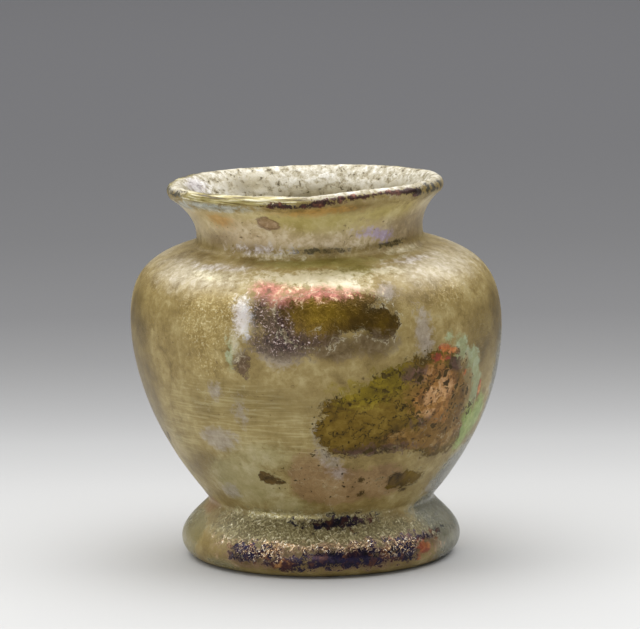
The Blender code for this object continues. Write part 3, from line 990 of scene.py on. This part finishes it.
    def climb(self) -> np.ndarray:
        """How far the pulled-up front of the lip lifts each vertex; the roll itself moves as one."""
        form = self.meridian
        neck_height = form.top - form.funnel_rise
        roll_height = form.top - form.lip_thickness / 2
        aside = np.minimum(np.abs(self.away(self.climb_azimuth)) / self.climb_reach, 1)
        fade = np.cos(math.pi / 2 * aside) ** 2
        share = np.clip((self.turned[:, 2] - neck_height) / (roll_height - neck_height), 0, 1)
        rise = self.lip_climb * fade
        for azimuth, width, height in self.ripples:
            rise += height * np.exp(-((self.away(azimuth) / width) ** 2))
        return rise * share * share * (3 - 2 * share)

    def shape(self, pot: bpy.types.Object) -> None:
        """Give the turned form its relief, its lean and its uneven lip."""
        height = self.turned[:, 2]
        share = np.clip(height, 0, None) / self.meridian.top
        azimuth = np.arctan2(self.turned[:, 1], self.turned[:, 0])
        offset = self.relief()
        radius = self.radius + offset * self.normal[:, 0]
        x, y, z = radius * np.cos(azimuth), radius * np.sin(azimuth), height + offset * self.normal[:, 1]
        ramp = np.clip((height - self.meridian.foot_rise) / self.set_over_height + 0.5, 0, 1)
        sideways = self.set_over * ramp - self.lean * share**self.lean_power
        lift = x * math.tan(math.radians(self.lip_tilt)) * share + self.climb()
        lift += self.lip_warp * np.cos(2 * azimuth) * share**self.warp_power
        worked = np.stack((x + sideways, y, z + lift), 1) * MM
        pot.data.vertices.foreach_set("co", worked.ravel())
        pot.data.update()

    @staticmethod
    def hidden(finish: Finish) -> list[Patch]:
        """Areas of a finish on the side that nobody photographed, drawn like its own ones."""
        patches = []
        for _ in range(finish.behind):
            like = random.choice(finish.patches)
            size = random.uniform(0.8, 1.4)
            azimuth = random.uniform(100, 260)
            height = like.height + random.uniform(-1, 1) * like.half_up
            around, up = like.half_around * size, like.half_up * size
            patches.append(replace(like, azimuth=azimuth, height=height, half_around=around, half_up=up))
        return patches

    def depth_in(self, patches: tuple[Patch, ...], wander: np.ndarray) -> np.ndarray:
        """How deep each vertex lies inside the nearest patch, in mm, negative outside it.

        Args:
            patches: the areas of one finish.
            wander: how far each vertex's place is nudged, around and up.

        Returns:
            One value for each vertex.
        """
        best = np.full(len(self.run), FAR)
        for patch in patches:
            far = self.reach(patch, patch.tilt, wander)
            best = np.maximum(best, (1 - far) * min(patch.half_around, patch.half_up))
        return best

    def dress(self, pot: bpy.types.Object) -> None:
        """Write each finish's areas as an attribute and give the pot its material."""
        body = np.isin(self.zone, (Zone.SIDE.value, Zone.INSIDE.value)) * (self.turned[:, 2] < self.body_top)
        strength = self.nudge + self.body_nudge * body
        wander = tuple(strength * self.rough(self.nudge_size, seed) for seed in (11.0, 17.0))
        for finish in (finish for finish in FINISHES if finish.patches):
            attribute = pot.data.attributes.new(finish.name, "FLOAT", "POINT")
            patches = (*finish.patches, *self.hidden(finish))
            attribute.data.foreach_set("value", self.depth_in(patches, wander))
        pot.data.materials.clear()
        pot.data.materials.append(WeatheredGlass(FINISHES).build())

    def make(self) -> bpy.types.Object:
        """Model, dress and register the pot."""
        pot = self.turn()
        self.shape(pot)
        self.dress(pot)
        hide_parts("glass_pot")
        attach(pot, "root")
        log.info("%s: %d faces", pot.name, len(pot.data.polygons))
        return pot


@dataclass(frozen=True)
class Softbox:
    """A rectangular light: where it hangs, the point it faces, its width and length, and its watts."""

    name: str
    place: tuple[float, float, float]
    target: tuple[float, float, float]
    size: tuple[float, float]
    power: float


SOFTBOXES = (
    Softbox("overhead", (0, 0.22, 0.55), (0, 0.22, 0), (1.4, 1.0), 12.6),
    Softbox("left", (-0.9, -0.25, 0.35), (0, 0, 0.02), (0.5, 0.8), 1.4),
    Softbox("right", (0.9, -0.25, 0.35), (0, 0, 0.02), (0.5, 0.8), 0.5),
    Softbox("front", (-0.25, -0.9, 0.2), (0, 0, 0.02), (0.6, 0.35), 1.8),
)

# Tones of the floor with its painted shade, palest at the front and darker towards the back
PAPER_AND_SHADE = (
    (0, "#C2C2C1"), (0.08, "#B9B9B8"), (0.16, "#9B9B9B"), (0.21, "#868686"), (0.26, "#757575"),
    (0.32, "#686869"), (0.44, "#5D5D5E"), (0.66, "#58585A"), (1, "#616163"),
)


@dataclass
class Studio:
    """Camera, pale floor and soft lights. Distances are metres, angles degrees."""

    look_at: tuple[float, float, float] = (0.0002, 0.0011, 0.029)
    distance: float = 0.7
    elevation: float = 9.72
    roll: float = -0.68
    focal_px: float = 5778.5
    width_px: int = 640
    sensor: float = 36.0
    # The floor's painted shade starts and ends at these two places
    shade_front: float = -0.03  # where the paper's shading starts and ends
    shade_back: float = 0.6
    paper_size: float = 8.0
    room: str = "#C8C8CC"
    room_strength: float = 0.25

    def camera(self) -> None:
        """Stand the camera at the photograph's viewing angle."""
        tilt, roll = math.radians(self.elevation), math.radians(self.roll)
        forward = Vector((0, math.cos(tilt), -math.sin(tilt)))
        right = Vector((1, 0, 0))
        up = right.cross(forward)
        rolled_right = right * math.cos(roll) + up * math.sin(roll)
        rolled_up = up * math.cos(roll) - right * math.sin(roll)
        lens = bpy.data.cameras.new("camera")
        lens.sensor_width = self.sensor
        lens.lens = self.sensor * self.focal_px / self.width_px
        lens.clip_start, lens.clip_end = 0.01, 20
        camera = bpy.data.objects.new("camera", lens)
        turn = Matrix((rolled_right, rolled_up, -forward)).transposed().to_4x4()
        camera.matrix_world = Matrix.Translation(Vector(self.look_at) - forward * self.distance) @ turn
        bpy.context.scene.collection.objects.link(camera)
        bpy.context.scene.camera = camera

    def floor(self) -> None:
        """Lay a pale floor with painted shade that darkens it away from the camera."""
        bpy.ops.object.select_all(action="DESELECT")
        bpy.ops.mesh.primitive_plane_add(size=self.paper_size)
        floor = bpy.context.object
        floor.name = "floor"
        graph = Graph("studio_paper_and_shade")
        back = graph.add("SeparateXYZ", {0: graph.add("TexCoord", out="Object")}, "Y")
        share = graph.add("MapRange", {0: back, 1: self.shade_front, 2: self.shade_back, 3: 0.0, 4: 1.0})
        tone = graph.ramp(share, PAPER_AND_SHADE)
        tone.node.color_ramp.interpolation = "B_SPLINE"
        matt = {"Base Color": tone, "Roughness": 0.9, "Specular IOR Level": 0.1}
        surface = graph.add("BsdfPrincipled", matt)
        graph.add("OutputMaterial", {0: surface})
        floor.data.materials.append(graph.material)

    def light(self) -> None:
        """Hang a wide softbox overhead and weaker ones at the sides and in front, in a dim room."""
        for box in SOFTBOXES:
            data = bpy.data.lights.new(box.name, "AREA")
            data.shape = "RECTANGLE"
            data.size, data.size_y = box.size
            data.energy = box.power
            light = bpy.data.objects.new(box.name, data)
            light.location = box.place
            facing = Vector(box.target) - Vector(box.place)
            light.rotation_euler = facing.to_track_quat("-Z", "Y").to_euler()
            bpy.context.scene.collection.objects.link(light)
        world = bpy.data.worlds.new("room")
        world.use_nodes = True
        background = world.node_tree.nodes["Background"]
        background.inputs["Color"].default_value = linear(self.room)
        background.inputs["Strength"].default_value = self.room_strength
        bpy.context.scene.world = world
        bpy.context.scene.view_settings.view_transform = "Standard"

    def make(self) -> None:
        """Set up the whole studio."""
        self.camera()
        self.floor()
        self.light()


def main() -> None:
    """Build the studio and the pot."""
    logging.basicConfig(level=logging.INFO)
    random.seed(SEED)
    Studio().make()
    BlownPot().make()


if __name__ == "__main__":
    main()
